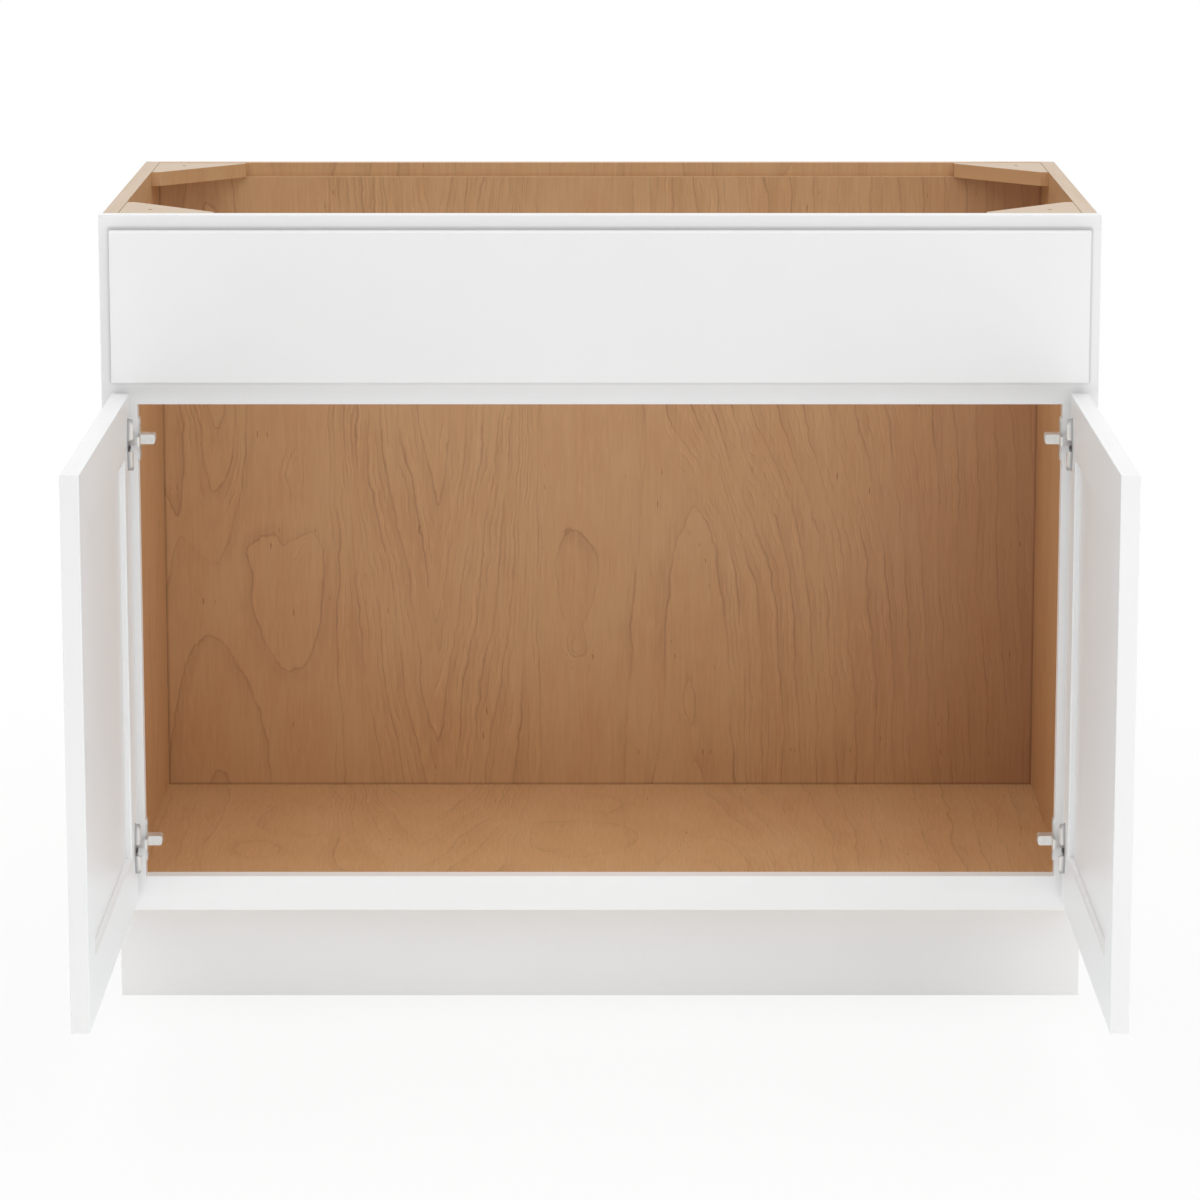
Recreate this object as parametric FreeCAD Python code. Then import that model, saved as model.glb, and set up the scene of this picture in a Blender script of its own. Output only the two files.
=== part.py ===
"""Sink-base vanity cabinet, 42 inches wide, with its two doors standing open.

Millimetres. +X is to the right seen from the front, +Y goes to the wall and +Z is up. The origin is on
the floor, on the centre line, below the front face of the face frame. Each piece is written as its own
solid, or group of solids, to parts/NAME.step. What comes in pairs is modelled on the left and mirrored.
"""
import FreeCAD, Part
import math
import os

# Overall sizes
cabinet_width = 1066.8
cabinet_height = 876.3
cabinet_depth = 533.4

# Carcass boards
frame_overhang = 3.175
side_thickness = 15.875
deck_thickness = 19.05
back_thickness = 6.35
hanging_rail_thickness = 12.7
hanging_rail_height = 76.2
groove_depth = 6.35
joint_clearance = 0.1

# Toe space
toe_height = 114.3
toe_recess = 63.5
toe_board_thickness = 12.7
rear_rail_thickness = 12.7

# Corner braces under the countertop
brace_thickness = 15.875
brace_leg = 101.6
brace_tip = 9.5
brace_hole_radius = 2.5
brace_hole_offset = 32.0

# Face frame
frame_thickness = 19.05
stile_width = 38.1
top_rail_height = 38.1
mid_rail_height = 38.1
bottom_rail_height = 38.1
drawer_opening_height = 127.0
tenon_length = 9.5
tenon_thickness = 6.35
tenon_shoulder = 5.0
frame_edge_round = 0.8

# False drawer front
front_thickness = 19.05
front_top_overlay = 22.225
front_bottom_overlay = 12.7
front_edge_round = 1.6
bracket_thickness = 1.5
bracket_leg = 17.0
bracket_width = 25.0

# Doors
door_thickness = 19.05
door_overlay = 25.4
door_top_overlay = 12.7
door_bottom_overlay = 25.4
door_gap = 3.0
meeting_gap = 3.175
door_stile_width = 63.5
door_rail_width = 63.5
door_edge_round = 1.2
panel_thickness = 6.35
panel_back_recess = 6.35
panel_groove_depth = 9.5
panel_float = 0.6
panel_bevel = 1.6
open_angle = 90.0

# Hinges
upper_hinge_drop = 51.0
lower_hinge_rise = 65.0
pin_inset = 7.2
pin_depth = 10.5
pin_radius = 1.25
pin_clearance = 0.05
knuckle_radius = 2.2
cup_bore_radius = 17.5
cup_tab = 3.0
cup_wall = 0.8
cup_clearance = 0.1
well_width = 15.6
pin_seat = 1.4
arm_floor_clearance = 0.2
flange_thickness = 1.2
flange_lip = 0.7
ear_offset = 6.0
ear_spread = 45.0
ear_radius = 5.5
shoulder_height = 6.5
shoulder_chamfer = 1.4
shoulder_clearance = 1.0
arm_thickness = 1.4
arm_width = 10.4
arm_bend_radius = 3.0
tongue_width = 8.0
tongue_length = 18.4
neck_gap = 0.5
block_reach = 16.0
block_depth = 18.0
block_chamfer = 1.5
plate_thickness = 2.0
plate_height = 47.0
plate_margin = 1.0
plate_corner = 5.0
plate_hole_spread = 34.0
plate_hole_radius = 1.8
spring_inset = 2.2
spring_length = 14.0
spring_fold = 4.5
spring_rise = 3.0
spring_thickness = 0.7
spring_width = 2.4
spring_offset = 4.6

# One reach past a face serves all cuts
cut_overrun = 5.0

# Places that follow from the sizes
half_width = cabinet_width / 2
carcass_half = half_width - frame_overhang
inner_half = carcass_half - side_thickness
opening_half = half_width - stile_width
rail_front_y = cabinet_depth - hanging_rail_thickness
back_front_y = rail_front_y - back_thickness
back_top = cabinet_height - brace_thickness
deck_top = toe_height + deck_thickness
toe_board_back = toe_recess + toe_board_thickness

top_rail_bottom = cabinet_height - top_rail_height
mid_rail_top = top_rail_bottom - drawer_opening_height
mid_rail_bottom = mid_rail_top - mid_rail_height
bottom_rail_top = toe_height + bottom_rail_height
frame_rails = {
    "frame_top_rail": (top_rail_bottom, cabinet_height),
    "frame_mid_rail": (mid_rail_bottom, mid_rail_top),
    "frame_bottom_rail": (toe_height, bottom_rail_top),
}

front_half = opening_half + door_overlay
front_bottom = mid_rail_top - front_bottom_overlay
front_top = top_rail_bottom + front_top_overlay
bracket_z = (mid_rail_top + top_rail_bottom) / 2

# The left door, closed: its back face looks along +Y
hinge_edge_x = -opening_half - door_overlay
lock_edge_x = -meeting_gap / 2
door_back_y = -door_gap
door_front_y = door_back_y - door_thickness
door_bottom = bottom_rail_top - door_bottom_overlay
door_top = mid_rail_bottom + door_top_overlay
panel_left_x = hinge_edge_x + door_stile_width
panel_right_x = lock_edge_x - door_stile_width
panel_bottom = door_bottom + door_rail_width
panel_top = door_top - door_rail_width
panel_back_y = door_back_y - panel_back_recess
panel_front_y = panel_back_y - panel_thickness

# The left hinges
hinge_heights = {"upper": door_top - upper_hinge_drop, "lower": door_bottom + lower_hinge_rise}
pin_x = hinge_edge_x + pin_inset
pin_y = door_back_y - pin_depth
cup_x = hinge_edge_x + cup_tab + cup_bore_radius
cup_radius = cup_bore_radius - cup_clearance
cup_floor_y = pin_y - knuckle_radius - arm_floor_clearance
cup_end_y = cup_floor_y - cup_wall
spring_x = pin_x + spring_inset
ear_x = cup_x + ear_offset
plate_face_x = -opening_half + plate_thickness
plate_middle_y = frame_thickness / 2
shoulder_x = plate_face_x + shoulder_clearance
neck_x = plate_face_x + neck_gap
block_end_x = plate_face_x + block_reach
block_front_y = plate_margin
block_back_y = block_front_y + block_depth

X_AXIS = FreeCAD.Vector(1, 0, 0)
Y_AXIS = FreeCAD.Vector(0, 1, 0)
Z_AXIS = FreeCAD.Vector(0, 0, 1)
ORIGIN = FreeCAD.Vector(0, 0, 0)
parallel_share = 0.01


def point(x, y, z):
    return FreeCAD.Vector(x, y, z)


def block(x0, x1, y0, y1, z0, z1):
    """A box between two opposite corners."""
    return Part.makeBox(x1 - x0, y1 - y0, z1 - z0, point(x0, y0, z0))


def eased_board(x0, x1, y0, y1, z0, z1, radius):
    """A board facing the front, with the edges of its front and back faces rounded."""
    board = block(x0, x1, y0, y1, z0, z1)
    return board.makeFillet(radius, edges_along(board, X_AXIS) + edges_along(board, Z_AXIS))


def rod(radius, start, end):
    """A round bar from one point to another."""
    run = end - start
    return Part.makeCylinder(radius, run.Length, start, run)


def flat_face(corners):
    """The flat face inside a straight-sided outline."""
    return Part.Face(Part.makePolygon(corners + corners[:1]))


def prism(corners, run):
    """A straight-sided outline pushed along a vector."""
    return flat_face(corners).extrude(run)


def edges_along(solid, axis):
    """The straight edges that run along an axis."""
    return [e for e in solid.Edges if e.tangentAt(e.FirstParameter).cross(axis).Length < parallel_share]


def whole(first, *others):
    """One solid out of several that meet."""
    return first.fuse(list(others)).removeSplitter()


def mirrored(shape):
    """The right-hand copy of a left-hand piece."""
    return shape.mirror(ORIGIN, X_AXIS)


def swung(shape):
    """A piece of the closed left door, turned with it to where the door stands open."""
    turned = shape.copy()
    turned.rotate(point(pin_x, pin_y, 0), Z_AXIS, -open_angle)
    return turned


def keep(name, shape):
    """Write one piece, or a group of loose ones."""
    shape.exportStep("parts/" + name + ".step")


def keep_pair(name, shape):
    """Write a left-hand piece and its mirror image. The name says where the side goes."""
    keep(name.format("left"), shape)
    keep(name.format("right"), mirrored(shape))


def belt_face(circles, y):
    """The face inside a belt round several circles (x, z, radius), taken anticlockwise, at one depth."""
    count = len(circles)
    normals = []
    for i in range(count):
        x0, z0, r0 = circles[i]
        x1, z1, r1 = circles[(i + 1) % count]
        heading = math.atan2(z1 - z0, x1 - x0)
        normals.append(heading - math.acos((r0 - r1) / math.hypot(x1 - x0, z1 - z0)))
    edges = []
    for i in range(count):
        x, z, r = circles[i]
        start = normals[i - 1]
        sweep = (normals[i] - start) % math.tau
        on_arc = [point(x + r * math.cos(a), y, z + r * math.sin(a))
                  for a in (start, start + sweep / 2, start + sweep)]
        edges.append(Part.Arc(*on_arc).toShape())
        next_x, next_z, next_r = circles[(i + 1) % count]
        landing = point(next_x + next_r * math.cos(normals[i]), y, next_z + next_r * math.sin(normals[i]))
        edges.append(Part.LineSegment(on_arc[2], landing).toShape())
    return Part.Face(Part.Wire(edges))


def side_panel():
    """Left side: a toe notch at the front, a dado for the deck and a groove for the back panel."""
    outline = [
        point(-carcass_half, toe_board_back, 0),
        point(-carcass_half, cabinet_depth, 0),
        point(-carcass_half, cabinet_depth, cabinet_height),
        point(-carcass_half, frame_thickness, cabinet_height),
        point(-carcass_half, frame_thickness, toe_height),
        point(-carcass_half, toe_board_back, toe_height),
    ]
    panel = prism(outline, X_AXIS * side_thickness)
    cut_start = -inner_half - groove_depth
    cut_end = -inner_half + cut_overrun
    dado = block(cut_start, cut_end, frame_thickness - cut_overrun, back_front_y,
                 toe_height - joint_clearance, deck_top + joint_clearance)
    groove = block(cut_start, cut_end, back_front_y - joint_clearance, rail_front_y + joint_clearance,
                   toe_height - joint_clearance, back_top + joint_clearance)
    return panel.cut([dado, groove])


def deck():
    """The floor of the cabinet, held in the sides' dadoes."""
    reach = inner_half + groove_depth - joint_clearance
    return block(-reach, reach, frame_thickness, back_front_y, toe_height, deck_top)


def back_panel():
    """A thin panel in the sides' grooves, up to the underside of the rear braces."""
    reach = inner_half + groove_depth - joint_clearance
    return block(-reach, reach, back_front_y, rail_front_y, toe_height, back_top)


def hanging_rail():
    """The board behind the back panel that the wall screws go through."""
    return block(-inner_half, inner_half, rail_front_y, cabinet_depth,
                 cabinet_height - hanging_rail_height, cabinet_height)


def rear_base_rail():
    """The board on the floor that carries the deck's rear edge."""
    return block(-inner_half, inner_half, back_front_y - rear_rail_thickness, back_front_y, 0, toe_height)


def toe_board():
    """The recessed board at the floor, across the ends of both sides."""
    return block(-carcass_half, carcass_half, toe_recess, toe_board_back, 0, toe_height)


def corner_brace(corner_y, towards):
    """A left-hand corner brace. Its square corner is at corner_y and it runs towards +Y or -Y."""
    corners = [(0, 0), (brace_leg, 0), (brace_leg, brace_tip), (brace_tip, brace_leg), (0, brace_leg)]
    outline = [point(-inner_half + along, corner_y + towards * away, back_top) for along, away in corners]
    brace = prism(outline, Z_AXIS * brace_thickness)
    hole_x = -inner_half + brace_hole_offset
    hole_y = corner_y + towards * brace_hole_offset
    hole = rod(brace_hole_radius, point(hole_x, hole_y, back_top - cut_overrun),
               point(hole_x, hole_y, cabinet_height + cut_overrun))
    return brace.cut(hole)


def frame_blank():
    """The face frame's outside, with its edges eased."""
    return eased_board(-half_width, half_width, 0, frame_thickness, toe_height, cabinet_height,
                       frame_edge_round)


def tenon(bottom, top, clearance):
    """The tongue on both ends of a frame rail, or with a clearance the mortise for it."""
    reach = opening_half + tenon_length - joint_clearance + clearance
    front = (frame_thickness - tenon_thickness) / 2
    return block(-reach, reach, front - clearance, front + tenon_thickness + clearance,
                 bottom + tenon_shoulder - clearance, top - tenon_shoulder + clearance)


def frame_rail(bottom, top):
    """A rail of the face frame between the two stiles."""
    rail = block(-opening_half, opening_half, 0, frame_thickness, bottom, top).common(frame_blank())
    return whole(rail, tenon(bottom, top, 0))


def frame_stile():
    """The left stile, with mortises for the rails."""
    stile = block(-half_width, -opening_half, 0, frame_thickness, toe_height, cabinet_height)
    mortises = [tenon(bottom, top, joint_clearance) for bottom, top in frame_rails.values()]
    return stile.common(frame_blank()).cut(mortises)


def false_front():
    """The fixed slab over the drawer opening, held by its brackets from behind."""
    return eased_board(-front_half, front_half, -front_thickness, 0, front_bottom, front_top,
                       front_edge_round)


def front_bracket():
    """The angle bracket between the left stile and the false front."""
    low = bracket_z - bracket_width / 2
    corners = [(0, 0), (bracket_leg, 0), (bracket_leg, bracket_thickness),
               (bracket_thickness, bracket_thickness), (bracket_thickness, bracket_leg), (0, bracket_leg)]
    outline = [point(-opening_half + across, away, low) for across, away in corners]
    return prism(outline, Z_AXIS * bracket_width)


def door_blank():
    """The closed left door's outside, with its edges eased."""
    return eased_board(hinge_edge_x, lock_edge_x, door_front_y, door_back_y, door_bottom, door_top,
                       door_edge_round)


def panel_opening(grow, y):
    """The rectangle round the door's panel, made larger all round, at one depth."""
    left, right = panel_left_x - grow, panel_right_x + grow
    low, high = panel_bottom - grow, panel_top + grow
    corners = [point(left, y, low), point(right, y, low), point(right, y, high), point(left, y, high)]
    return Part.makePolygon(corners + corners[:1])


def panel_bevels():
    """The cutters that bevel the frame of the door round its panel, on the back and on the front."""
    cutters = []
    for face_y, inward in ((door_back_y, -1), (door_front_y, 1)):
        outlines = [panel_opening(0, face_y + inward * panel_bevel), panel_opening(panel_bevel, face_y)]
        cutters.append(Part.makeLoft(outlines, True, True))
    return cutters


def panel_groove():
    """The groove all round the inside of the door's frame."""
    reach = panel_groove_depth
    return block(panel_left_x - reach, panel_right_x + reach,
                 panel_front_y - joint_clearance, panel_back_y + joint_clearance,
                 panel_bottom - reach, panel_top + reach)


def door_stile(x0, x1):
    """A full-height member of the door, grooved and bevelled on its inner edge."""
    stile = block(x0, x1, door_front_y, door_back_y, door_bottom, door_top).common(door_blank())
    inner_groove = block(panel_left_x - panel_groove_depth, panel_right_x + panel_groove_depth,
                         panel_front_y - joint_clearance, panel_back_y + joint_clearance,
                         door_bottom - cut_overrun, door_top + cut_overrun)
    return stile.cut([inner_groove] + panel_bevels())


def hinge_stile():
    """The stile that the hinge cups are let into."""
    cuts = []
    for z in hinge_heights.values():
        mouth = point(cup_x, door_back_y + cut_overrun, z)
        cuts.append(rod(cup_bore_radius, mouth, point(cup_x, cup_end_y - cup_clearance, z)))
    return door_stile(hinge_edge_x, panel_left_x).cut(cuts)


def door_rail(bottom, top):
    """A rail of the door, with a tongue at each end that fills the stile's groove."""
    tongue_reach = panel_groove_depth - panel_float
    rail = block(panel_left_x, panel_right_x, door_front_y, door_back_y, bottom, top).common(door_blank())
    tongues = block(panel_left_x - tongue_reach, panel_right_x + tongue_reach, panel_front_y, panel_back_y,
                    bottom, top)
    return whole(rail, tongues).cut([panel_groove()] + panel_bevels())


def door_panel():
    """The flat panel that floats in the grooves of the door's frame."""
    reach = panel_groove_depth - panel_float
    return block(panel_left_x - reach, panel_right_x + reach, panel_front_y, panel_back_y,
                 panel_bottom - reach, panel_top + reach)


def hinge_cup(z):
    """A cast hinge cup: an eared flange, two shoulders on it, and a well for the arm with the pin across."""
    low_ear, high_ear = [(ear_x, z + end * ear_spread / 2, ear_radius) for end in (-1, 1)]
    centre = (cup_x, z, cup_bore_radius + flange_lip)
    outline = belt_face([centre, low_ear, centre, high_ear], door_back_y)
    bowl = rod(cup_radius, point(cup_x, door_back_y, z), point(cup_x, cup_end_y, z))
    flange = outline.extrude(Y_AXIS * flange_thickness)
    shoulders = [cup_shoulder(outline, z, end) for end in (-1, 1)]
    mouth_y = door_back_y + flange_thickness + cut_overrun
    well = rod(cup_radius - cup_wall, point(cup_x, mouth_y, z), point(cup_x, cup_floor_y, z))
    cheeks = block(cup_x - cup_radius, cup_x + cup_radius, cup_floor_y, mouth_y,
                   z - well_width / 2, z + well_width / 2)
    pin_half = well_width / 2 + pin_seat
    pin = rod(pin_radius, point(pin_x, pin_y, z - pin_half), point(pin_x, pin_y, z + pin_half))
    return whole(whole(bowl, flange, *shoulders).cut(well.common(cheeks)), pin)


def cup_shoulder(outline, z, end):
    """The part of the flange that stands up beside the arm's block when the door is shut, above or below."""
    top_y = door_back_y + shoulder_height
    near = end * (arm_width / 2 + shoulder_clearance)
    far = end * (ear_spread / 2 + ear_radius + cut_overrun)
    room = block(shoulder_x, cup_x + cup_bore_radius + cut_overrun, door_back_y, top_y,
                 z + min(near, far), z + max(near, far))
    shoulder = outline.extrude(Y_AXIS * shoulder_height).common(room)
    top_edges = [e for e in shoulder.Edges if e.BoundBox.YMin > top_y - joint_clearance]
    return shoulder.makeChamfer(shoulder_chamfer, top_edges)


def hinge_springs(z):
    """The two folded leaves on the floor of the cup's well, beside the arm, that pull the door shut."""
    last_fold = spring_length - spring_fold
    folds = [(0, 0), (spring_fold, spring_rise), (last_fold, spring_rise), (spring_length, 0)]
    lower = [point(spring_x + along, cup_floor_y + rise, z) for along, rise in folds]
    upper = [corner + Y_AXIS * spring_thickness for corner in reversed(lower)]
    leaf = prism(lower + upper, Z_AXIS * spring_width)
    below = spring_offset + spring_width
    return [leaf.translated(Z_AXIS * spring_offset), leaf.translated(-Z_AXIS * below)]


def hinge_plate(z):
    """The mounting plate on the inner edge of the left stile."""
    plate = block(-opening_half, plate_face_x, plate_margin, frame_thickness - plate_margin,
                  z - plate_height / 2, z + plate_height / 2)
    plate = plate.makeFillet(plate_corner, edges_along(plate, X_AXIS))
    hole_heights = [z + end * plate_hole_spread / 2 for end in (-1, 1)]
    holes = [rod(plate_hole_radius, point(-opening_half - cut_overrun, plate_middle_y, hole_z),
                 point(plate_face_x + cut_overrun, plate_middle_y, hole_z)) for hole_z in hole_heights]
    return plate.cut(holes)


def hinge_arm(z):
    """The bent arm from the pin in the cup, round the stile's edge, to the block on the plate."""
    low, high = z - arm_width / 2, z + arm_width / 2
    tongue_low, tongue_high = z - tongue_width / 2, z + tongue_width / 2
    web_y = pin_y - knuckle_radius
    web_top_y = web_y + arm_thickness
    neck_end_x = neck_x + arm_thickness
    bend_x = neck_end_x - arm_bend_radius
    bend_y = web_y + arm_bend_radius
    knuckle = rod(knuckle_radius, point(pin_x, pin_y, tongue_low), point(pin_x, pin_y, tongue_high))
    tongue = block(pin_x, bend_x, web_y, web_top_y, tongue_low, tongue_high)
    web = block(pin_x + tongue_length, bend_x, web_y, web_top_y, low, high)
    web_end = flat_face([point(bend_x, web_y, low), point(bend_x, web_top_y, low),
                         point(bend_x, web_top_y, high), point(bend_x, web_y, high)])
    bend = web_end.revolve(point(bend_x, bend_y, z), Z_AXIS, 90)
    neck = block(neck_x, neck_end_x, bend_y, block_front_y + arm_thickness, low, high)
    arm = whole(knuckle, tongue, web, bend, neck, hinge_block(z))
    bore = rod(pin_radius + pin_clearance, point(pin_x, pin_y, tongue_low - cut_overrun),
               point(pin_x, pin_y, tongue_high + cut_overrun))
    return arm.cut(bore)


def hinge_block(z):
    """The pressed box at the end of the arm, open towards the inside of the cabinet."""
    low, high = z - arm_width / 2, z + arm_width / 2
    box = block(plate_face_x, block_end_x, block_front_y, block_back_y, low, high)
    corners = [e for e in edges_along(box, Y_AXIS) if e.CenterOfMass.x > neck_x]
    box = box.makeChamfer(block_chamfer, corners)
    pocket = block(plate_face_x + arm_thickness, block_end_x - arm_thickness, block_front_y + arm_thickness,
                   block_back_y + cut_overrun, low + arm_thickness, high - arm_thickness)
    return box.cut(pocket)


def write_carcass():
    keep_pair("{}_side_panel", side_panel())
    keep("deck", deck())
    keep("back_panel", back_panel())
    keep("hanging_rail", hanging_rail())
    keep("rear_base_rail", rear_base_rail())
    keep("toe_board", toe_board())
    keep_pair("front_{}_brace", corner_brace(frame_thickness, 1))
    keep_pair("rear_{}_brace", corner_brace(rail_front_y, -1))
    keep_pair("frame_{}_stile", frame_stile())
    for name, (bottom, top) in frame_rails.items():
        keep(name, frame_rail(bottom, top))
    keep("false_front", false_front())
    keep_pair("{}_front_bracket", front_bracket())


def write_doors():
    keep_pair("{}_door_hinge_stile", swung(hinge_stile()))
    keep_pair("{}_door_lock_stile", swung(door_stile(panel_right_x, lock_edge_x)))
    keep_pair("{}_door_top_rail", swung(door_rail(panel_top, door_top)))
    keep_pair("{}_door_bottom_rail", swung(door_rail(door_bottom, panel_bottom)))
    keep_pair("{}_door_panel", swung(door_panel()))


def write_hinges():
    springs = []
    for level, z in hinge_heights.items():
        keep_pair("{}_" + level + "_hinge_cup", swung(hinge_cup(z)))
        keep_pair("{}_" + level + "_hinge_arm", hinge_arm(z))
        keep_pair("{}_" + level + "_hinge_plate", hinge_plate(z))
        springs += hinge_springs(z)
    keep_pair("{}_hinge_springs", swung(Part.makeCompound(springs)))


os.makedirs("parts", exist_ok=True)
write_carcass()
write_doors()
write_hinges()
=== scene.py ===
"""Looks of the vanity cabinet: satin white paint outside, clear-coated maple inside, nickel cup hinges.

The frame holds every solid at its true size and place. Metres: +X is right, +Y goes to the wall, +Z is up.
"""
import math

import bmesh
import bpy
from mathutils import Matrix, Vector


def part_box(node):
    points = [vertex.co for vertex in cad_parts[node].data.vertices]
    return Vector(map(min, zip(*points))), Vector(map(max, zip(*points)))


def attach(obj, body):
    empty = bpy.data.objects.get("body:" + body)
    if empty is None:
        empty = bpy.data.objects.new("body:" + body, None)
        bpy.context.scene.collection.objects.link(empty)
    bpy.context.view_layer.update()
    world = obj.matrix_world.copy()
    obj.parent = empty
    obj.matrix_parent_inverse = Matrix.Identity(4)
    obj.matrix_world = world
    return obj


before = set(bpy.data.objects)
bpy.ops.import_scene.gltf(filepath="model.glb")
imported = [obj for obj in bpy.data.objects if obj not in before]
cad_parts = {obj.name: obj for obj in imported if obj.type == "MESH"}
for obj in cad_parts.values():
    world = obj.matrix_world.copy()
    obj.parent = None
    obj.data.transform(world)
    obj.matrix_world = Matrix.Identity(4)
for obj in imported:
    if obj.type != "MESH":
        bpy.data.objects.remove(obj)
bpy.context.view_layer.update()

# How far the shoulders of a hinge cup stand above its flange
SHOULDER_STEP = 0.0053

# Sizes of the frame that the finishes and small pieces follow
INNER_WALL = -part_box("hanging_rail")[0].x
DECK_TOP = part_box("deck")[1].z
RAIL_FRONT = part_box("hanging_rail")[0].y
SLAB_LOW, SLAB_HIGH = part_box("false_front")
UPPER_HINGE = sum(corner.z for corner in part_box("left_upper_hinge_cup")) / 2
LOWER_HINGE = sum(corner.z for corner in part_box("left_lower_hinge_cup")) / 2
FLANGE_FACE = SHOULDER_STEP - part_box("left_upper_hinge_cup")[1].x
SIDES = {"left": 1.0, "right": -1.0}
LEVELS = ("upper", "lower")

# The camera stands where the photograph was taken from, on the cabinet's centre line
CAMERA_PLACE = (0.0, -5.199, 1.488)
CAMERA_PITCH = math.radians(11.19)
CAMERA_LENS = 147.4

# The lamp: place, point aimed at, size and power in watts
KEY_LAMP = ((2.6, -4.0, 1.9), (0.0, 0.0, 0.45), 2.4, 21.0)

# The room's own light, which comes from above and fades towards the level of the eye
CEILING_LIGHT = 1.35
CEILING_FADE = 0.9

# The floor: its size, its grey and the light it lends to the cabinet
FLOOR_SIZE = 60.0
FLOOR_GREY = 0.86
FLOOR_ROUGH = 0.9
FLOOR_LIGHT = 0.31

# How much of its own white the floor shows near the cabinet and further off
FLOOR_GLOW_NEAR = 0.82
FLOOR_GLOW_FAR = 1.0
FLOOR_NEAR = 0.75
FLOOR_FAR = 2.2

# Screws and eased metal edges, in metres and radians
SCREW_SIDES = 40
HEAD_RADIUS = 0.0033
HEAD_HEIGHT = 0.0006
SHANK_RADIUS = 0.0016
SHANK_LENGTH = 0.0019
SHORT_SHANK_LENGTH = 0.2 * SHANK_LENGTH
PLATE_SCREW_RISE = 0.017
PLATE_SCREW_TURN = 0.68
CLAMP_SCREW_DEPTH = 0.009
CLAMP_SCREW_TURN = 0.3
BRACKET_SCREW_REACH = 0.0105
BRACKET_THICKNESS = 0.0015
STILE_SCREW_TURN = 0.5
FRONT_SCREW_TURN = 0.2
METAL_EDGE = 0.0004

# A screw head's rim, as shares of its radius and height, and its cross recess, as shares of radius and shank
RIM_SHARES = ((1.0, 0.0), (1.0, 0.45), (0.94, 0.76), (0.80, 1.0))
RECESS_MOUTH_SHARES = (0.55, 0.13)
RECESS_FLOOR_SHARES = (0.38, 0.08)
RECESS_DEPTH_SHARE = 0.5

# Depths of the finishes' relief
PAINT_PEEL = 0.00004
WOOD_GRAIN = 0.00005
PRESS_GRAIN = 0.000008

# Thicknesses of the plies that show on raw edges
SIDE_PLY = 0.0017
DECK_PLY = 0.0021
BASE_RAIL_PLY = 0.0018

# Where lines and painted shades in the finishes start and end to fade, in metres from what they follow
# the painted shadow on the face frame round the false front
FRONT_SHADOW_FADE = (0.0012, 0.0055)
# the painted shade and dark joint line in the back panel's corners
BACK_CORNER_SHADE = 0.004
SIDE_JOINT = 0.0016
RAIL_JOINT = 0.0030
# the painted shade on the hinge cups' flanges and shoulder ends
FLANGE_SHADE_FADE = 0.003
SHOULDER_END_SHADE = (0.021, 0.027)

# The veneer's marks, in lumps to the metre across the grain, along it and from sheet to sheet
WANDER = (13.0, 6.5, 1.0)
RAGGED = (85.0, 48.0, 1.0)
FADING = (16.0, 7.0, 1.0)
COMB = (60.0, 13.0, 1.0)
FIBRE = (620.0, 24.0, 1.0)
DASH = (310.0, 32.0, 1.0)
STREAK = (150.0, 6.5, 1.0)
MOTTLE = (17.0, 8.0, 1.0)
FLECK = (420.0, 60.0, 1.0)
FLECK_GROUP = (26.0, 15.0, 1.0)
DRIFT = (5.0, 1.6, 1.0)
RAW_FIBRE = (700.0, 18.0, 1.0)
RAW_STREAK = (90.0, 4.0, 1.0)

# How far ring lines wander, and how far they are ragged, across and along the grain
WANDER_ACROSS, WANDER_ALONG = 0.030, 0.060
RAGGED_ACROSS, RAGGED_ALONG = 0.0050, 0.018

# How far apart a figure is sampled to find how steep it is, and the fine rings to one of its ring lines
FIGURE_STEP = 0.001
FINE_RINGS = 3.0

# Ring lines to the metre between which the fine rings come up and the bold ones fade
FINE_STEEPNESS = (18.0, 38.0)
BOLD_STEEPNESS = (24.0, 44.0)

# How far nested vees reach to each side, and how blunt their points are, in square metres
VEE_REACH = 0.125
VEE_BLUNTNESS = 0.00004

# Rises and hollows of the back panel's figure: place across and up, spread, and height in ring lines
BACK_RISES = {
    "left_edge": ((-0.56, 0.4125), (0.086, 0.1233), -1.2),
    "left_vees": ((-0.455, 0.66), (0.028, 0.20), -3.2),
    "left_arch": ((-0.455, 0.0), (0.060, 0.36), 1.85),
    "shield": ((-0.380, 0.346), (0.0530, 0.1020), -1.1),
    "shield_lobe": ((-0.400, 0.425), (0.018, 0.020), -0.55),
    "shield_ear": ((-0.346, 0.415), (0.013, 0.022), -0.70),
    "drop": ((-0.362, 0.520), (0.012, 0.0324), -1.0),
    "spindle": ((-0.018, 0.52), (0.090, 0.550), 1.05),
    "low_fan": ((-0.022, 0.0), (0.036, 0.160), 1.7),
    "oval": ((-0.033, 0.376), (0.0335, 0.073), 0.95),
    "blot": ((-0.026, 0.300), (0.012, 0.014), 0.9),
    "tall_arch": ((0.108, 0.05), (0.0480, 0.425), -1.7),
    "low_drop": ((0.102, 0.240), (0.008, 0.0255), -0.6),
}

# The same for the deck: place across and from the front
DECK_RISES = {
    "left_arch": ((-0.354, 0.320), (0.052, 0.130), 1.0),
    "dark_ring": ((-0.379, 0.205), (0.042, 0.060), -1.2),
    "far_oval": ((0.0, 0.410), (0.044, 0.050), -0.95),
    "near_oval": ((-0.021, 0.262), (0.098, 0.105), 0.95),
    "blot": ((-0.030, 0.180), (0.012, 0.016), 0.9),
    "low_arch": ((0.114, 0.060), (0.049, 0.201), -1.7),
}


def tint(red, green, blue):
    """The linear colour behind three 0-255 screen levels."""
    shares = [level / 255 for level in (red, green, blue)]
    return (*[s / 12.92 if s < 0.04045 else ((s + 0.055) / 1.055) ** 2.4 for s in shares], 1.0)


def grey(level):
    """A linear grey."""
    return (level, level, level, 1.0)


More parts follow.
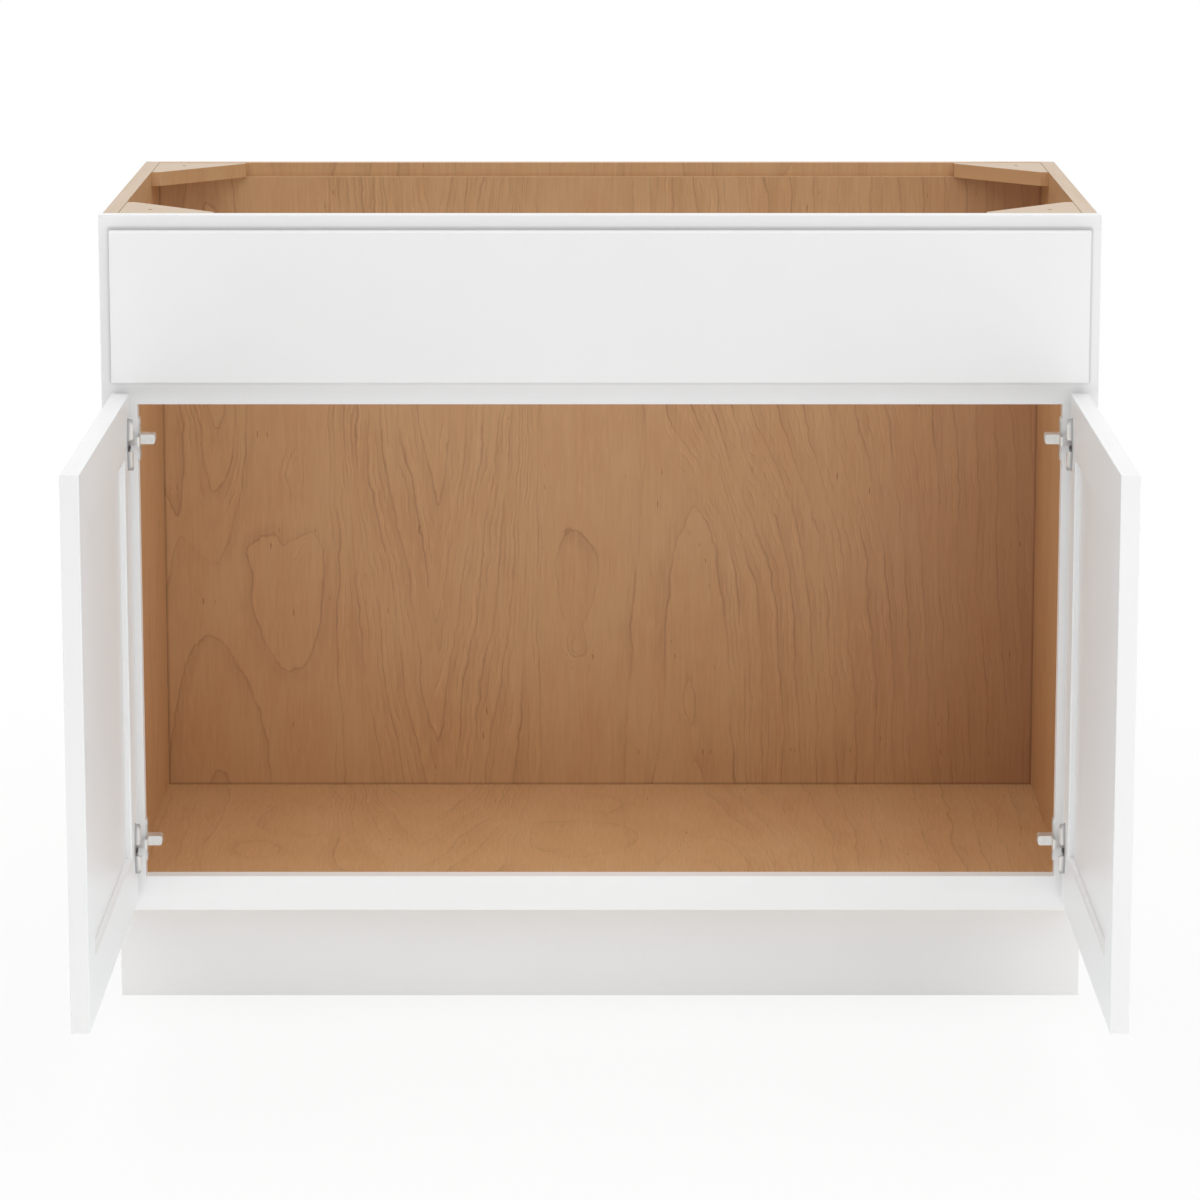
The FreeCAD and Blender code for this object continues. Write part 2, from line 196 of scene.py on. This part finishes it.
PAINT = tint(245, 245, 245)
PAINT_SHADE = tint(241, 241, 241)
# A painted cool tint for the door backs, offsetting the warm light the maple bounces onto them
PAINT_COOLED_AGAINST_BOUNCE = tint(242, 246, 248)
# A grey for the painted shadow on the face frame round the false front
PAINT_SHADOW_GREY = tint(172, 172, 172)
MAPLE = tint(210, 169, 123)
MAPLE_WARM = tint(198, 144, 96)
# The darker, warmer brown the back panel takes on towards the right
MAPLE_RIGHT_DARK = tint(164, 112, 77)
MAPLE_LINE = tint(122, 78, 46)
MAPLE_PALE = tint(226, 184, 138)
RAW_MAPLE = tint(214, 195, 174)
RAW_MAPLE_DARK = tint(196, 173, 148)
GLUE_LINE = tint(176, 142, 108)
JOINT_LINE = tint(128, 104, 78)
NICKEL = tint(238, 237, 234)
NICKEL_DULL = tint(216, 215, 211)
# A grey for the painted shade on the hinge cups
NICKEL_SHADE = tint(158, 158, 160)
ZINC = tint(222, 224, 226)
ZINC_DULL = tint(192, 195, 198)
SPRING_STEEL = tint(150, 150, 152)
SPRING_STEEL_DULL = tint(110, 110, 112)
WHITE = grey(1.0)
BLACK = grey(0.0)


class Wire:
    """An output socket of a finish's nodes. Sums on it, and with plain numbers, become Math nodes."""

    def __init__(self, socket):
        self.socket = socket

    def node(self, kind, settings, sockets, output=0):
        """Any node: its type, its settings, which are set first, and the values or wires of its sockets."""
        tree = self.socket.id_data
        made = tree.nodes.new(kind)
        for name, value in settings.items():
            setattr(made, name, value)
        for name, value in sockets.items():
            if isinstance(value, Wire):
                tree.links.new(value.socket, made.inputs[name])
            else:
                made.inputs[name].default_value = value
        return Wire(made.outputs[output])

    def math(self, operation, *values):
        return self.node("ShaderNodeMath", {"operation": operation}, dict(enumerate(values)))

    def __add__(self, other):
        return self.math("ADD", self, other)

    def __radd__(self, other):
        return self.math("ADD", other, self)

    def __sub__(self, other):
        return self.math("SUBTRACT", self, other)

    def __rsub__(self, other):
        return self.math("SUBTRACT", other, self)

    def __mul__(self, other):
        return self.math("MULTIPLY", self, other)

    def __rmul__(self, other):
        return self.math("MULTIPLY", other, self)

    def __truediv__(self, other):
        return self.math("DIVIDE", self, other)

    def __neg__(self):
        return self.math("MULTIPLY", self, -1.0)

    def __abs__(self):
        return self.math("ABSOLUTE", self)


def root(value):
    return value.math("SQRT", value)


def fraction(value):
    """What is left of a number above the whole number below it."""
    return value.math("FRACT", value)


def mixed(share, low, high):
    """A colour between two, by a share from 0 to 1."""
    return share.node("ShaderNodeMix", {"data_type": "RGBA"}, {0: share, 6: low, 7: high}, 2)


def blended(share, low, high):
    """A number between two, by a share from 0 to 1."""
    return low + share * (high - low)


def eased(value, start, end):
    """0 below start, 1 above end and a smooth rise between them."""
    return value.node("ShaderNodeMapRange", {"interpolation_type": "SMOOTHSTEP"},
                      {"Value": value, "From Min": start, "From Max": end})


def turned(amount):
    """1 where a surface is turned a certain way, from how far its normal points there."""
    return eased(amount, 0.4, 0.6)


def ramp(value, start, end, rise):
    """0 below start, the whole rise above end and an even slope between them."""
    return value.node("ShaderNodeMapRange", {},
                      {"Value": value, "From Min": start, "From Max": end, "To Max": rise})


def largest(first, *others):
    for other in others:
        first = first.math("MAXIMUM", first, other)
    return first


def axes(vector):
    """The three numbers of a vector."""
    split = vector.node("ShaderNodeSeparateXYZ", {}, {0: vector})
    return [Wire(socket) for socket in split.socket.node.outputs]


def noise(place, stretch, detail, output=0):
    """Soft noise from 0 to 1, with so many lumps to the metre along each axis. Output 1 is three at once."""
    stretched = place.node("ShaderNodeVectorMath", {"operation": "MULTIPLY"}, {0: place, 1: stretch})
    return place.node("ShaderNodeTexNoise", {}, {"Vector": stretched, "Scale": 1.0, "Detail": detail}, output)


def even(lumps):
    """The same count of lumps along all three axes."""
    return (lumps, lumps, lumps)


def relief(height, depth):
    """A bump of so many metres, for the shader's Normal."""
    return height.node("ShaderNodeBump", {}, {"Height": height, "Strength": 1.0, "Distance": depth})


def new_finish(name):
    """An empty material, the place on it in metres and the way its surface faces."""
    material = bpy.data.materials.new(name)
    material.use_nodes = True
    known = material.node_tree.nodes.new("ShaderNodeTexCoord")
    return material, Wire(known.outputs["Object"]), Wire(known.outputs["Normal"])


def feed(material, sockets):
    """Give the material's shader its values and wires."""
    shader = material.node_tree.nodes["Principled BSDF"]
    for name, value in sockets.items():
        if isinstance(value, Wire):
            material.node_tree.links.new(value.socket, shader.inputs[name])
        else:
            shader.inputs[name].default_value = value
    return material


def coat(material, finish, depth):
    """Feed a finish's colour, roughness and height to the shader."""
    colour, rough, height = finish
    return feed(material, {"Base Color": colour, "Roughness": rough, "Normal": relief(height, depth)})


def over(share, above, below):
    """One finish over another, where the share is 1."""
    return (mixed(share, below[0], above[0]), blended(share, below[1], above[1]),
            blended(share, below[2], above[2]))


def sprayed(place):
    """Satin paint: its colour, its roughness and the height of its orange peel."""
    cloud = noise(place, even(7.0), 2.0)
    peel = noise(place, even(620.0), 1.0)
    return mixed(cloud, PAINT_SHADE, PAINT), 0.34 + 0.10 * cloud, peel


def sheet_place(across, along, sheet):
    """A place on a sheet of veneer, where each sheet number is a different log."""
    return across.node("ShaderNodeCombineXYZ", {}, {0: across, 1: along, 2: sheet})


def figure_slope(figure, across, along):
    """The height of a figure at a place, and how steep it is there: its ring lines to the metre."""
    here = figure(across, along)
    slope_across = (figure(across + FIGURE_STEP, along) - here) / FIGURE_STEP
    slope_along = (figure(across, along + FIGURE_STEP) - here) / FIGURE_STEP
    return here, root(slope_across * slope_across + slope_along * slope_along + 1.0)


def ring_distance(height, steepness, rings):
    """Metres to the nearest line, below 0 on its lower side, with so many rings to a height of 1."""
    return (fraction(height * rings) - 0.5) / (rings * steepness)


def veneer(across, along, sheet, figure, boldness):
    """Clear-coated maple. The figure is a height over the sheet, whose contours are the ring lines."""
    place = sheet_place(across, along, sheet)
    wander = axes(noise(place, WANDER, 3.0, 1))
    ragged = axes(noise(place, RAGGED, 2.0, 1))
    height, steepness = figure_slope(
        figure, across + WANDER_ACROSS * (wander[0] - 0.5) + RAGGED_ACROSS * (ragged[0] - 0.5),
        along + WANDER_ALONG * (wander[1] - 0.5) + RAGGED_ALONG * (ragged[1] - 0.5))

    # The ring lines, each with a shade that fades away on its upper side
    distance = ring_distance(height, steepness, 1.0)
    presence = 0.22 + 0.78 * eased(noise(place, FADING, 1.0), 0.36, 0.62)
    presence = presence * (1.0 - 0.3 * eased(steepness, *BOLD_STEEPNESS))
    line = presence * (1.0 - eased(abs(distance), 0.0003, 0.0019))
    shade = presence * eased(distance, -0.0005, 0.0008) * (1.0 - eased(distance, 0.0, 0.024))

    # The fine rings, like the teeth of a comb, each with a light line beside it
    comb = eased(steepness, *FINE_STEEPNESS) * eased(noise(place, COMB, 1.0), 0.40, 0.60)
    tooth = ring_distance(height, steepness, FINE_RINGS)
    tooth_line = comb * (1.0 - eased(abs(tooth), 0.0002, 0.0015))
    tooth_light = comb * eased(tooth, 0.0006, 0.0014) * (1.0 - eased(tooth, 0.0016, 0.0032))

    # The wood itself
    fibre = noise(place, FIBRE, 2.0)
    dash = noise(place, DASH, 1.0)
    streak = noise(place, STREAK, 3.0)
    mottle = noise(place, MOTTLE, 3.0)
    fleck = eased(noise(place, FLECK, 0.0), 0.775, 0.82) * eased(noise(place, FLECK_GROUP, 0.0), 0.58, 0.68)
    ground = mixed(0.9 * (mottle - 0.26) + 0.7 * (streak - 0.42), MAPLE, MAPLE_WARM)
    light = 0.3 * eased(streak, 0.58, 0.76) + 0.5 * (mottle - 0.3) * eased(dash, 0.54, 0.74)
    ground = mixed(light + 0.30 * tooth_light, ground, MAPLE_PALE)
    rings = boldness * (0.27 * line + 0.13 * shade + 0.13 * tooth_line)
    darkness = rings + 0.65 * fleck + 0.30 * (fibre - 0.44) + 0.12 * (0.5 - dash)
    return mixed(darkness, ground, MAPLE_LINE), 0.36 + 0.16 * fibre, fibre - 0.6 * line


def raw_wood(across, along, sheet):
    """Sawn or sanded maple without a finish."""
    place = sheet_place(across, along, sheet)
    fibre = noise(place, RAW_FIBRE, 3.0)
    streak = noise(place, RAW_STREAK, 2.0)
    colour = mixed(0.9 * (streak - 0.3) + 0.35 * (fibre - 0.4), RAW_MAPLE, RAW_MAPLE_DARK)
    return colour, 0.62 + 0.16 * fibre, fibre


def ply_edge(depth, along, ply):
    """The edge of a board built of thin plies, with faint glue lines between them."""
    colour, rough, height = raw_wood(depth, along, 7.0)
    glue = eased(abs(fraction(depth / ply) - 0.5), 0.42, 0.49)
    return mixed(0.22 * glue, colour, GLUE_LINE), rough, height - 0.5 * glue


def hill(across, along, place, spread, height):
    """A round-topped rise in a veneer's figure, which draws closed rings about a place."""
    u = (across - place[0]) / spread[0]
    v = (along - place[1]) / spread[1]
    fall = -(u * u + v * v)
    return height * fall.math("EXPONENT", fall)


def with_rises(figure, across, along, rises):
    """A figure with rises and hollows added."""
    for place, spread, height in rises.values():
        figure = figure + hill(across, along, place, spread, height)
    return figure


def nested_vees(across, along, place, rings, slope, plain_reach):
    """Ring lines that meet in nested vees about a place, and straighten out beyond the plain reach."""
    offset = across - place[0]
    reach = root(offset * offset + VEE_BLUNTNESS)
    straight = eased(reach, plain_reach, VEE_REACH)
    return ramp(reach, 0.0, VEE_REACH, rings) - slope * (along - place[1]) * (1.0 - straight)


def back_figure(across, along):
    """The back panel's figure: arches at the left, nested vees, a spindle over a fan and leaning lines."""
    vees = nested_vees(across, along, (-0.194, 0.36), 6.0, 7.0, 0.06)
    lean = 0.07 * eased(along, 0.36, 0.60) * (1.0 - eased(across, 0.10, 0.45))
    right_lines = ramp(across + lean + 0.05 * (along - 0.36), 0.150, 0.530, 17.0)
    return with_rises(vees + right_lines, across, along, BACK_RISES)


def deck_figure(across, along):
    """The deck's figure: an arch and a dark ring, nested vees, two ovals, a low arch and leaning lines."""
    vees = nested_vees(across, along, (-0.199, 0.25), 4.0, 9.0, 0.05)
    lean = 0.25 * (along - 0.25) * (1.0 - eased(across, 0.10, 0.32))
    right_lines = ramp(across + lean, 0.160, 0.530, 13.0)
    left_lines = ramp(-across, 0.430, 0.520, 3.0)
    return with_rises(vees + right_lines + left_lines, across, along, DECK_RISES)


def drifting_figure(sheet, rings):
    """A plain figure: so many wandering ring lines, and a few long islands."""
    def figure(across, along):
        return rings * noise(sheet_place(across, along, sheet), DRIFT, 1.0)
    return figure


def white_paint():
    material, place, _ = new_finish("satin_white_paint")
    return coat(material, sprayed(place), PAINT_PEEL)


def frame_paint():
    """The face frame's paint, with a grey painted shadow all round the false front, where the slab shades the
    frame.
    """
    material, place, _ = new_finish("frame_white_paint")
    x, _, z = axes(place)
    beside = largest(abs(x) - SLAB_HIGH.x, 0.0)
    beyond = largest(z - SLAB_HIGH.z, SLAB_LOW.z - z, 0.0)
    # Painted shadow: the paint greys within a few millimetres all round the false front
    painted_shade = 1.0 - eased(root(beside * beside + beyond * beyond), *FRONT_SHADOW_FADE)
    colour, rough, peel = sprayed(place)
    return coat(material, (mixed(0.55 * painted_shade, colour, PAINT_SHADOW_GREY), rough, peel), PAINT_PEEL)


def door_paint():
    """The doors' paint, with a painted cool tint on the backs that face each other when the doors stand open,
    to offset the warm light the maple bounces onto them.
    """
    material, place, facing = new_finish("door_white_paint")
    inwards = -axes(place)[0] * axes(facing)[0]
    colour, rough, peel = sprayed(place)
    # Painted light: the door backs get a cooler paint that cancels the maple's warm bounced light
    return coat(material, (mixed(eased(inwards, 0.1, 0.3), colour, PAINT_COOLED_AGAINST_BOUNCE), rough, peel), PAINT_PEEL)


def side_finish():
    """Veneer inside, paint outside, raw plies on the edges."""
    material, place, facing = new_finish("side_panel_maple")
    x, y, z = axes(place)
    facing_x = axes(facing)[0]
    inside = veneer(y, z, x, drifting_figure(2.0, 8.0), 0.8)
    face = over(eased(x * facing_x, -0.1, 0.1), sprayed(place), inside)
    return coat(material, over(turned(abs(facing_x)), face, ply_edge(x, y + z, SIDE_PLY)), WOOD_GRAIN)


def back_finish():
    """Veneer towards the doors, with a painted shade and a dark joint line in the corners, and raw wood
    behind.
    """
    material, place, facing = new_finish("back_panel_maple")
    x, _, z = axes(place)
    _, facing_y, facing_z = axes(facing)
    colour, rough, height = veneer(x, z, 3.0, back_figure, 1.0)
    # The veneer darkens and warms towards the right wall
    right_darkening = eased(x + 0.10 * (noise(place, (6.0, 1.0, 2.5), 2.0) - 0.5), 0.14, 0.52)
    colour = mixed(0.75 * right_darkening, colour, mixed(0.6 * right_darkening, colour, MAPLE_RIGHT_DARK))
    # Painted shade, partly a dark joint line: the veneer darkens within a few millimetres of the side walls
    # and the deck
    corner = largest(eased(abs(x), INNER_WALL - BACK_CORNER_SHADE, INNER_WALL),
                     1.0 - eased(z, DECK_TOP, DECK_TOP + BACK_CORNER_SHADE))
    front = mixed(0.55 * corner, colour, MAPLE_LINE), rough, height
    bare, rough, height = raw_wood(x, z, 5.0)
    bare = mixed(0.7 * turned(facing_z), bare, MAPLE), rough, height
    return coat(material, over(turned(-facing_y), front, bare), WOOD_GRAIN)


def deck_finish():
    """Veneer on top with the grain from front to back, raw wood below and raw plies on the edges."""
    material, place, facing = new_finish("deck_maple")
    x, y, z = axes(place)
    facing_z = axes(facing)[2]
    top = veneer(x, y, 9.0, deck_figure, 0.75)
    flat = over(eased(facing_z, -0.1, 0.1), top, raw_wood(x, y, 11.0))
    return coat(material, over(turned(abs(facing_z)), flat, ply_edge(z, x + y, DECK_PLY)), WOOD_GRAIN)


def rail_finish():
    """The hanging rail: veneer in front and over its top edge, raw wood behind."""
    material, place, facing = new_finish("hanging_rail_maple")
    x, y, z = axes(place)
    front = veneer(x, z + y, 13.0, drifting_figure(13.0, 14.0), 0.8)
    return coat(material, over(turned(axes(facing)[1]), raw_wood(z, x, 15.0), front), WOOD_GRAIN)


def brace_finish():
    """A corner brace: sanded raw faces with a dark joint at the panels, and veneer on its upright edges."""
    material, place, facing = new_finish("brace_maple")
    x, y, z = axes(place)
    upright = veneer(x + y, z, 17.0, drifting_figure(17.0, 10.0), 0.6)
    colour, rough, height = raw_wood(y, x, 19.0)
    joint = largest(eased(abs(x), INNER_WALL - SIDE_JOINT, INNER_WALL - SIDE_JOINT / 2),
                    eased(y, RAIL_FRONT - RAIL_JOINT, RAIL_FRONT - RAIL_JOINT / 2))
    flat = mixed(0.8 * joint, colour, JOINT_LINE), rough, height - joint
    return coat(material, over(turned(abs(axes(facing)[2])), flat, upright), WOOD_GRAIN)


def base_rail_finish():
    """The rear base rail: raw plywood on every side."""
    material, place, facing = new_finish("base_rail_plywood")
    x, y, z = axes(place)
    edge = ply_edge(y, x, BASE_RAIL_PLY)
    return coat(material, over(turned(abs(axes(facing)[1])), raw_wood(z, x, 21.0), edge), WOOD_GRAIN)


def plating(place, colour, dull, rough):
    """Plated steel: a little cloudy, with the fine lines of the press."""
    cloud = noise(place, even(160.0), 2.0)
    lines = noise(place, (2600.0, 2600.0, 240.0), 2.0)
    tone = mixed(0.6 * cloud + 0.3 * (lines - 0.4), colour, dull)
    return tone, rough + 0.14 * (lines - 0.5) + 0.10 * (cloud - 0.5), lines


def plated(name, colour, dull, rough, metal):
    material, place, _ = new_finish(name)
    feed(material, {"Metallic": metal})
    return coat(material, plating(place, colour, dull, rough), PRESS_GRAIN)


def cup_finish():
    """Nickel with a painted shade that darkens the flange and the shoulders' ends."""
    material, place, _ = new_finish("nickel_cup")
    x, _, z = axes(place)
    rise = abs(abs(z - (UPPER_HINGE + LOWER_HINGE) / 2) - (UPPER_HINGE - LOWER_HINGE) / 2)
    # Painted shade: the nickel greys towards the flange face and at the shoulders' ends
    painted_shade = largest(eased(abs(x), FLANGE_FACE - FLANGE_SHADE_FADE, FLANGE_FACE), eased(rise, *SHOULDER_END_SHADE))
    colour, rough, lines = plating(place, NICKEL, NICKEL_DULL, 0.34)
    feed(material, {"Metallic": 0.8})
    return coat(material, (mixed(0.8 * painted_shade, colour, NICKEL_SHADE), rough, lines), PRESS_GRAIN)


def dress(finish, *names):
    """Put a finish on nodes of the frame."""
    for name in names:
        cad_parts[name].data.materials.clear()
        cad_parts[name].data.materials.append(finish)


def nodes_ending(*endings):
    """The names of the frame's nodes that end in certain words."""
    return [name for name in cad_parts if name.endswith(endings)]


def ease_edges(name):
    """Round a pressed piece's edges a little, so that they catch the light."""
    eased_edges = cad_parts[name].modifiers.new("eased_edges", "BEVEL")
    eased_edges.width = METAL_EDGE
    eased_edges.segments = 2


def dress_frame():
    """Every node of the frame gets its finish by its name. Returns the screws' finish."""
    zinc = plated("zinc_plate", ZINC, ZINC_DULL, 0.34, 1.0)
    cups = nodes_ending("_hinge_cup")
    arms = nodes_ending("_hinge_arm", "_hinge_plate")
    dress(white_paint(), "false_front", "toe_board")
    dress(frame_paint(), *[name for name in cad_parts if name.startswith("frame_")])
    dress(door_paint(), *[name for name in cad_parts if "_door_" in name])
    dress(side_finish(), "left_side_panel", "right_side_panel")
    dress(back_finish(), "back_panel")
    dress(deck_finish(), "deck")
    dress(rail_finish(), "hanging_rail")
    dress(base_rail_finish(), "rear_base_rail")
    dress(brace_finish(), *nodes_ending("_brace"))
    dress(zinc, *nodes_ending("_front_bracket"))
    dress(plated("spring_steel", SPRING_STEEL, SPRING_STEEL_DULL, 0.30, 1.0), *nodes_ending("_hinge_springs"))
    dress(plated("nickel_plate", NICKEL, NICKEL_DULL, 0.36, 0.7), *arms)
    dress(cup_finish(), *cups)
    for name in (*arms, *cups):
        ease_edges(name)
    return zinc


def ring(solid, radius, height):
    """A circle of vertices about the screw's axis."""
    turns = [math.tau * step / SCREW_SIDES for step in range(SCREW_SIDES)]
    return [solid.verts.new((radius * math.cos(turn), radius * math.sin(turn), height)) for turn in turns]


def wall(solid, lower, upper):
    """Faces between two loops of vertices."""
    for step in range(len(lower)):
        solid.faces.new((lower[step - 1], lower[step], upper[step], upper[step - 1]))


def cross_loop(solid, shares, height):
    """The outline of a cross recess, whose reach and half width are shares of the head's radius."""
    reach, half = [share * HEAD_RADIUS for share in shares]
    quarter = [(reach, -half), (reach, half), (half, half)]
    loop = []
    for turn in range(4):
        quarter_turn = Matrix.Rotation(turn * math.pi / 2, 2)
        loop += [quarter_turn @ Vector(corner) for corner in quarter]
    return [solid.verts.new((corner.x, corner.y, height)) for corner in loop]


def low_screw(name, shank):
    """A low-headed screw that looks along +Z, with its head seated at 0 and a cross recess in its crown."""
    solid = bmesh.new()
    tip = ring(solid, SHANK_RADIUS, -shank)
    neck = ring(solid, SHANK_RADIUS, 0.0)
    loops = [ring(solid, HEAD_RADIUS * wide, HEAD_HEIGHT * high) for wide, high in RIM_SHARES]
    mouth = cross_loop(solid, RECESS_MOUTH_SHARES, HEAD_HEIGHT)
    floor = cross_loop(solid, RECESS_FLOOR_SHARES, -RECESS_DEPTH_SHARE * shank)
    solid.faces.new(tip)
    wall(solid, tip, neck)
    wall(solid, neck, loops[0])
    for lower, upper in zip(loops, loops[1:]):
        wall(solid, lower, upper)
    wall(solid, mouth, floor)
    solid.faces.new(floor)
    crown = [solid.edges.get((loop[step - 1], loop[step])) for loop in (loops[-1], mouth)
             for step in range(len(loop))]
    bmesh.ops.triangle_fill(solid, edges=crown, use_beauty=True)
    bmesh.ops.recalc_face_normals(solid, faces=solid.faces)
    mesh = bpy.data.meshes.new(name)
    solid.to_mesh(mesh)
    solid.free()
    return mesh


def drive(name, mesh, seat, facing, turn):
    """Put a screw in, with its head seated at a point of the carcass."""
    made = bpy.data.objects.new(name, mesh)
    bpy.context.scene.collection.objects.link(made)
    looking = Vector(facing).to_track_quat("Z", "Y").to_matrix().to_4x4()
    made.matrix_world = Matrix.Translation(seat) @ looking @ Matrix.Rotation(turn, 4, "Z")
    bpy.context.view_layer.update()
    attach(made, "carcass")


def drive_screws(finish):
    """The screws of the hinge plates, the clamping screws of the hinge arms and the brackets' screws."""
    long_screw = low_screw("plate_screw", SHANK_LENGTH)
    short_screw = low_screw("clamp_screw", SHORT_SHANK_LENGTH)
    for mesh in (long_screw, short_screw):
        mesh.materials.append(finish)
    backward = (0.0, 1.0, 0.0)
    for side, inward in SIDES.items():
        sideways = (inward, 0.0, 0.0)
        outer, inner = (0, 1) if inward > 0 else (1, 0)
        for level in LEVELS:
            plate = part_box(f"{side}_{level}_hinge_plate")
            middle = (plate[0] + plate[1]) / 2
            for place, end in (("high", 1.0), ("low", -1.0)):
                seat = (plate[inner].x, middle.y, middle.z + end * PLATE_SCREW_RISE)
                turn = end * PLATE_SCREW_TURN
                drive(f"{side}_{level}_{place}_plate_screw", long_screw, seat, sideways, turn)
            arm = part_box(f"{side}_{level}_hinge_arm")
            seat = (arm[inner].x, arm[1].y - CLAMP_SCREW_DEPTH, middle.z)
            drive(f"{side}_{level}_clamp_screw", short_screw, seat, sideways, CLAMP_SCREW_TURN)
        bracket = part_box(f"{side}_front_bracket")
        corner_x, corner_y = bracket[outer].x, bracket[0].y
        height = (bracket[0].z + bracket[1].z) / 2
        seat = (corner_x + inward * BRACKET_THICKNESS, corner_y + BRACKET_SCREW_REACH, height)
        drive(f"{side}_bracket_stile_screw", short_screw, seat, sideways, STILE_SCREW_TURN)
        seat = (corner_x + inward * BRACKET_SCREW_REACH, corner_y + BRACKET_THICKNESS, height)
        drive(f"{side}_bracket_front_screw", short_screw, seat, backward, FRONT_SCREW_TURN)


def lamp(name, place, target, size, power):
    """A large soft square lamp at a place, looking at a target."""
    data = bpy.data.lights.new(name, "AREA")
    data.size = size
    data.energy = power
    made = bpy.data.objects.new(name, data)
    made.location = place
    made.rotation_euler = (Vector(target) - Vector(place)).to_track_quat("-Z", "Y").to_euler()
    bpy.context.scene.collection.objects.link(made)


def seen_straight(tree):
    """1 for what the camera sees, also by reflection or through something clear, and 0 for plain light."""
    path = tree.nodes.new("ShaderNodeLightPath")
    kinds = ("Is Camera Ray", "Is Glossy Ray", "Is Transmission Ray")
    return largest(*[Wire(path.outputs[kind]) for kind in kinds])


def surroundings():
    """White where they are seen, and a soft light from above for the cabinet."""
    world = bpy.data.worlds.new("studio")
    bpy.context.scene.world = world
    world.use_nodes = True
    tree = world.node_tree
    background = tree.nodes["Background"]
    background.inputs["Color"].default_value = WHITE
    up = axes(Wire(tree.nodes.new("ShaderNodeTexCoord").outputs["Generated"]))[2]
    strength = blended(seen_straight(tree), CEILING_LIGHT * eased(up, 0.0, CEILING_FADE), 1.0)
    tree.links.new(strength.socket, background.inputs["Strength"])


def pale_floor():
    """A floor that keeps the cabinet's shadow, lends it some light and whitens further off."""
    material = bpy.data.materials.new("pale_floor")
    material.use_nodes = True
    tree = material.node_tree
    seen = seen_straight(tree)
    feed(material, {"Base Color": grey(FLOOR_GREY), "Roughness": FLOOR_ROUGH,
                    "Emission Color": mixed(seen, grey(FLOOR_LIGHT), BLACK), "Emission Strength": 1.0})
    x, y, _ = axes(Wire(tree.nodes.new("ShaderNodeTexCoord").outputs["Object"]))
    far = eased(root(x * x + y * y), FLOOR_NEAR, FLOOR_FAR)
    share = seen * blended(far, FLOOR_GLOW_NEAR, FLOOR_GLOW_FAR)
    glow = share.node("ShaderNodeEmission", {}, {"Color": WHITE, "Strength": 1.0})
    own = Wire(tree.nodes["Principled BSDF"].outputs["BSDF"])
    surface = share.node("ShaderNodeMixShader", {}, {0: share, 1: own, 2: glow})
    tree.links.new(surface.socket, tree.nodes["Material Output"].inputs["Surface"])
    return material


def studio():
    """White surroundings, one soft lamp and a pale floor."""
    surroundings()
    lamp("key_lamp", *KEY_LAMP)
    bpy.ops.mesh.primitive_plane_add(size=FLOOR_SIZE)
    floor = bpy.context.object
    floor.name = "floor"
    floor.data.materials.append(pale_floor())


def camera():
    data = bpy.data.cameras.new("camera")
    data.lens = CAMERA_LENS
    made = bpy.data.objects.new("camera", data)
    made.location = CAMERA_PLACE
    made.rotation_euler = (math.pi / 2 - CAMERA_PITCH, 0.0, 0.0)
    bpy.context.scene.collection.objects.link(made)
    bpy.context.scene.camera = made


bpy.context.scene.view_settings.view_transform = "Standard"
drive_screws(dress_frame())
studio()
camera()
